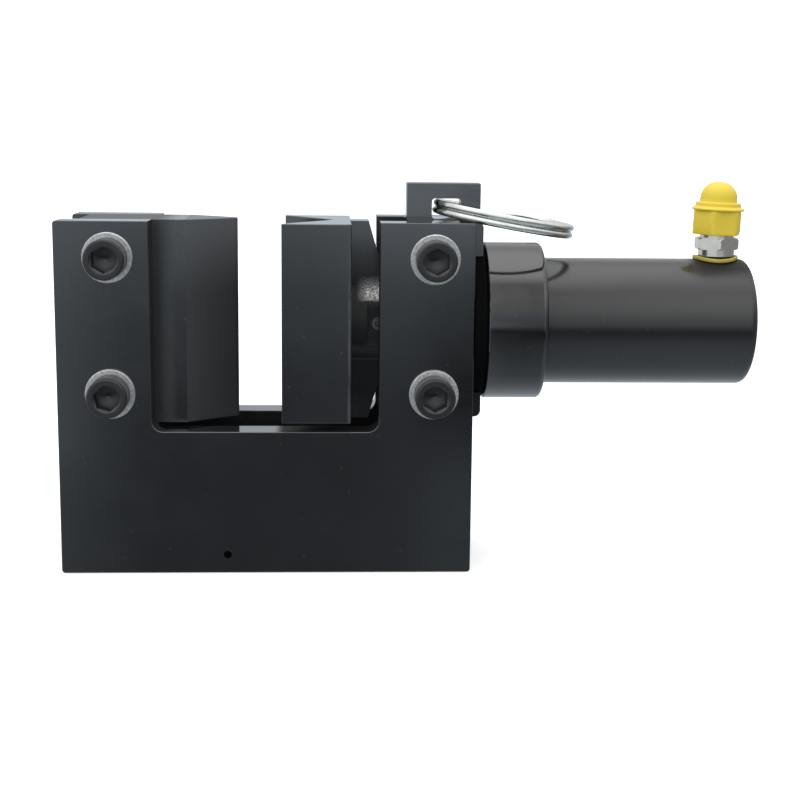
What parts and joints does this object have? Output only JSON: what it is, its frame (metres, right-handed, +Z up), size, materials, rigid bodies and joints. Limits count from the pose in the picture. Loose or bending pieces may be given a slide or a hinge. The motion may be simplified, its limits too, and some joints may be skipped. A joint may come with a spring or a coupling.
{
  "type": "hydraulic busbar bender",
  "caption": "Hydraulic busbar bender: U-shaped steel side plates hold a wedge punch, and a cylinder drives a V die towards it.",
  "frame": {"origin": "centre of the underside, on the base spacer's lower face, midway between the side plates", "axes": "+X along the cylinder away from the dies, +Y from the front plate to the rear plate, +Z up"},
  "size_m": [0.4255, 0.13, 0.2391],
  "materials": {
    "black_steel": "satin black oxide",
    "black_tool_steel": "satin black oxide",
    "black_barrel": "semi-gloss black oxide",
    "black_screw": "satin black oxide",
    "zinc_washer": "dull zinc",
    "zinc_fitting": "bright zinc",
    "ground_steel": "ground",
    "spring_steel": "oiled",
    "bright_ring": "polished",
    "bronze": "machined",
    "rubber": "matte",
    "wear_ring": "matte",
    "yellow_plastic": "satin moulded"
  },
  "bodies": {
    "frame": {"front_side_plate": "black_steel", "rear_side_plate": "black_steel", "base_spacer": "black_steel", "base_pin": "black_steel", "fixed_punch": "black_tool_steel", "punch_screws": "black_screw", "punch_washers": "zinc_washer", "head_block": "black_steel", "head_screws": "black_screw", "head_washers": "zinc_washer", "rod_bush": "bronze", "rod_wiper": "rubber", "barrel_seal": "rubber", "coupling_collar": "black_barrel", "cylinder_barrel": "black_barrel", "return_spring": "spring_steel", "coupler_seal": "zinc_washer", "coupler_body": "zinc_fitting", "coupler_clip": "spring_steel", "coupler_spring": "spring_steel", "tether_ring": "yellow_plastic"},
    "ram": {"ram_die": "black_tool_steel", "ram_set_screw": "black_screw", "piston_rod": "ground_steel", "piston": "ground_steel", "piston_seal": "rubber", "piston_wear_ring": "wear_ring", "piston_nut": "ground_steel"},
    "ring": {"carry_ring": "bright_ring"},
    "cap": {"dust_cap": "yellow_plastic"},
    "valve": {"coupler_poppet": "zinc_fitting"}
  },
  "joints": [
    {"name": "ram_slide", "type": "slide", "parent": "frame", "child": "ram", "axis": [-1, 0, 0], "range_m": [0, 0.05], "stiffness_N_per_m": 2000, "springref_m": -0.02, "deforming": ["return_spring"]},
    {"name": "ring_swing", "type": "hinge", "parent": "frame", "child": "ring", "pos_m": [0.1073, 0, 0.22245], "axis": [0, -1, 0], "range_deg": [0, 180]},
    {"name": "dust_cap_lift", "type": "slide", "parent": "frame", "child": "cap", "axis": [0, 0, 1], "range_m": [0, 0.06]},
    {"name": "valve_push", "type": "slide", "parent": "frame", "child": "valve", "axis": [0, 0, -1], "range_m": [0, 0.004], "stiffness_N_per_m": 1500, "springref_m": -0.002, "deforming": ["coupler_spring"]}
  ]
}
